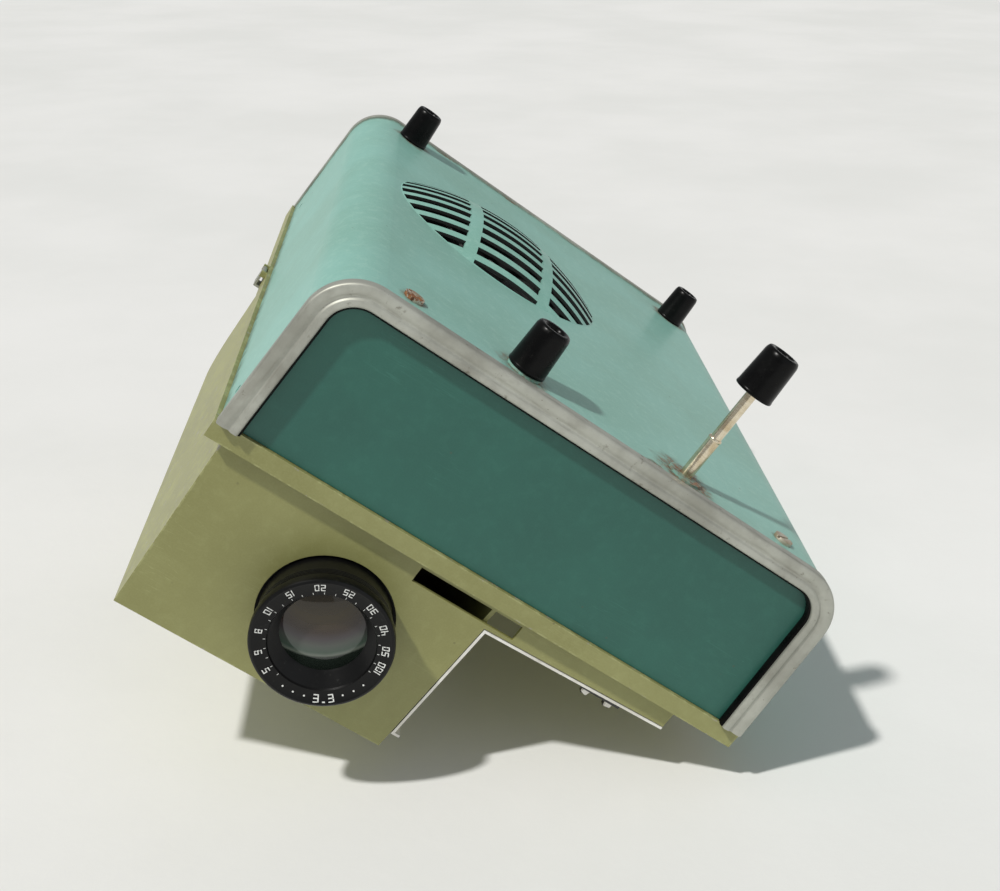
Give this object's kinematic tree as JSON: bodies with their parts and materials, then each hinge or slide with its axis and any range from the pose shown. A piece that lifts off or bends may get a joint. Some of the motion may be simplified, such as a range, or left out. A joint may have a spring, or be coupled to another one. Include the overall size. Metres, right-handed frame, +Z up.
{
  "type": "slide projector",
  "caption": "Two-tone slide projector with domed louvred vent, adjustable front legs, offset lamp housing, focusing lens, slide changer, blower, lamp and condensers.",
  "frame": {"origin": "on the flat underside of the base, midway between the two front legs", "axes": "+X towards the side that carries the lamp housing, -Y out of the lens, +Z up when the projector stands on its feet"},
  "size_m": [0.2252, 0.3204, 0.1992],
  "materials": {
    "base_wrap": "satin hammer-finish enamel",
    "front_trim": "worn satin",
    "rear_trim": "worn satin",
    "front_panel": "satin enamel",
    "rear_panel": "satin enamel",
    "deck_plate": "satin hammer-finish enamel",
    "housing_cover": "satin hammer-finish enamel",
    "cutout_liner": "bright, scratched",
    "latch_brackets": "satin enamel",
    "right_latch": "satin enamel",
    "left_latch": "satin enamel",
    "leg_crossmember": "zinc plated",
    "leg_bushes": "dull",
    "left_leg_rod": "tarnished",
    "left_leg_foot": "matt",
    "left_leg_stop": "zinc plated",
    "right_leg_rod": "tarnished",
    "right_leg_foot": "matt",
    "right_leg_stop": "zinc plated",
    "rear_feet": "matt",
    "rear_foot_screws": "dull",
    "base_screws": "rusted",
    "deck_screws": "dull",
    "fan_shroud": "matt black",
    "fan_impeller": "dull",
    "fan_shaft": "ground",
    "motor_rotor": "turned",
    "motor_stator": "laminated, varnished",
    "motor_coil": "varnished copper winding",
    "motor_bracket": "zinc plated",
    "motor_posts": "zinc plated",
    "motor_top_plate": "zinc plated",
    "motor_bearings": "sintered",
    "optical_bench": "zinc plated",
    "gate_frame": "matt black",
    "condenser_cell": "turned",
    "front_condenser": "clear",
    "rear_condenser": "clear",
    "heat_glass": "green tinted",
    "heat_glass_holder": "zinc plated",
    "reflector": "polished",
    "lamp_bulb": "clear",
    "lamp_cap": "dull",
    "lamp_socket": "ceramic",
    "lamp_shield": "heat stained",
    "lens_bush": "matt black",
    "focus_guide": "ground",
    "focus_follower": "turned",
    "lens_barrel": "satin black",
    "lens_ring": "satin black",
    "front_element": "coated",
    "rear_element": "coated",
    "changer_guide": "satin",
    "slide_carrier": "satin",
    "changer_handle": "moulded",
    "tray_catch": "moulded",
    "power_inlet": "moulded",
    "inlet_pins": "nickel worn",
    "mains_switch": "nickel plated",
    "switch_lever": "polished"
  },
  "bodies": {
    "base": {"base_wrap": "base_wrap", "front_trim": "front_trim", "rear_trim": "rear_trim", "front_panel": "front_panel", "rear_panel": "rear_panel", "deck_plate": "deck_plate", "housing_cover": "housing_cover", "cutout_liner": "cutout_liner", "latch_brackets": "latch_brackets", "leg_crossmember": "leg_crossmember", "leg_bushes": "leg_bushes", "rear_feet": "rear_feet", "rear_foot_screws": "rear_foot_screws", "base_screws": "base_screws", "deck_screws": "deck_screws", "fan_shroud": "fan_shroud", "motor_stator": "motor_stator", "motor_coil": "motor_coil", "motor_bracket": "motor_bracket", "motor_posts": "motor_posts", "motor_top_plate": "motor_top_plate", "motor_bearings": "motor_bearings", "optical_bench": "optical_bench", "gate_frame": "gate_frame", "condenser_cell": "condenser_cell", "front_condenser": "front_condenser", "rear_condenser": "rear_condenser", "heat_glass": "heat_glass", "heat_glass_holder": "heat_glass_holder", "reflector": "reflector", "lamp_bulb": "lamp_bulb", "lamp_cap": "lamp_cap", "lamp_socket": "lamp_socket", "lamp_shield": "lamp_shield", "lens_bush": "lens_bush", "focus_guide": "focus_guide", "changer_guide": "changer_guide", "power_inlet": "power_inlet", "inlet_pins": "inlet_pins", "mains_switch": "mains_switch"},
    "left_leg": {"left_leg_rod": "left_leg_rod", "left_leg_foot": "left_leg_foot", "left_leg_stop": "left_leg_stop"},
    "right_leg": {"right_leg_rod": "right_leg_rod", "right_leg_foot": "right_leg_foot", "right_leg_stop": "right_leg_stop"},
    "focus_slider": {"focus_follower": "focus_follower"},
    "lens": {"lens_barrel": "lens_barrel", "lens_ring": "lens_ring", "front_element": "front_element", "rear_element": "rear_element"},
    "fan": {"fan_impeller": "fan_impeller", "fan_shaft": "fan_shaft", "motor_rotor": "motor_rotor"},
    "changer": {"slide_carrier": "slide_carrier", "changer_handle": "changer_handle"},
    "right_latch": {"right_latch": "right_latch"},
    "left_latch": {"left_latch": "left_latch"},
    "tray_catch": {"tray_catch": "tray_catch"},
    "switch_lever": {"switch_lever": "switch_lever"}
  },
  "joints": [
    {"name": "left_leg_slide", "type": "slide", "parent": "base", "child": "left_leg", "axis": [0, 0, 1], "range_m": [-0.008, 0.036]},
    {"name": "right_leg_slide", "type": "slide", "parent": "base", "child": "right_leg", "axis": [0, 0, -1], "range_m": [0, 0.044]},
    {"name": "focus_slide", "type": "slide", "parent": "base", "child": "focus_slider", "axis": [0, -1, 0], "range_m": [-0.006, 0.006]},
    {"name": "lens_turn", "type": "hinge", "parent": "focus_slider", "child": "lens", "pos_m": [0.0397, 0, 0.1112], "axis": [0, 1, 0], "range_deg": [-110, 110]},
    {"name": "fan_spin", "type": "hinge", "parent": "base", "child": "fan", "pos_m": [0.0352, 0.1438, 0], "axis": [0, 0, 1], "continuous": true},
    {"name": "changer_slide", "type": "slide", "parent": "base", "child": "changer", "axis": [-1, 0, 0], "range_m": [0, 0.095]},
    {"name": "right_latch_hinge", "type": "hinge", "parent": "base", "child": "right_latch", "pos_m": [0.11146, 0.1593, 0.0676], "axis": [0, 1, 0], "range_deg": [0, 70]},
    {"name": "left_latch_hinge", "type": "hinge", "parent": "base", "child": "left_latch", "pos_m": [-0.11146, 0.1593, 0.0676], "axis": [0, -1, 0], "range_deg": [0, 70]},
    {"name": "tray_catch_hinge", "type": "hinge", "parent": "base", "child": "tray_catch", "pos_m": [-0.067, -0.0025, 0.073], "axis": [0, 0, 1], "range_deg": [0, 12], "stiffness_Nm_per_rad": 0.02},
    {"name": "switch_tilt", "type": "hinge", "parent": "base", "child": "switch_lever", "pos_m": [-0.024, 0.2743, 0.033], "axis": [1, 0, 0], "range_deg": [0, 25]}
  ],
  "couplings": [
    {"joint": "lens_turn", "follows": "focus_slide", "rad_per_m": 314}
  ]
}
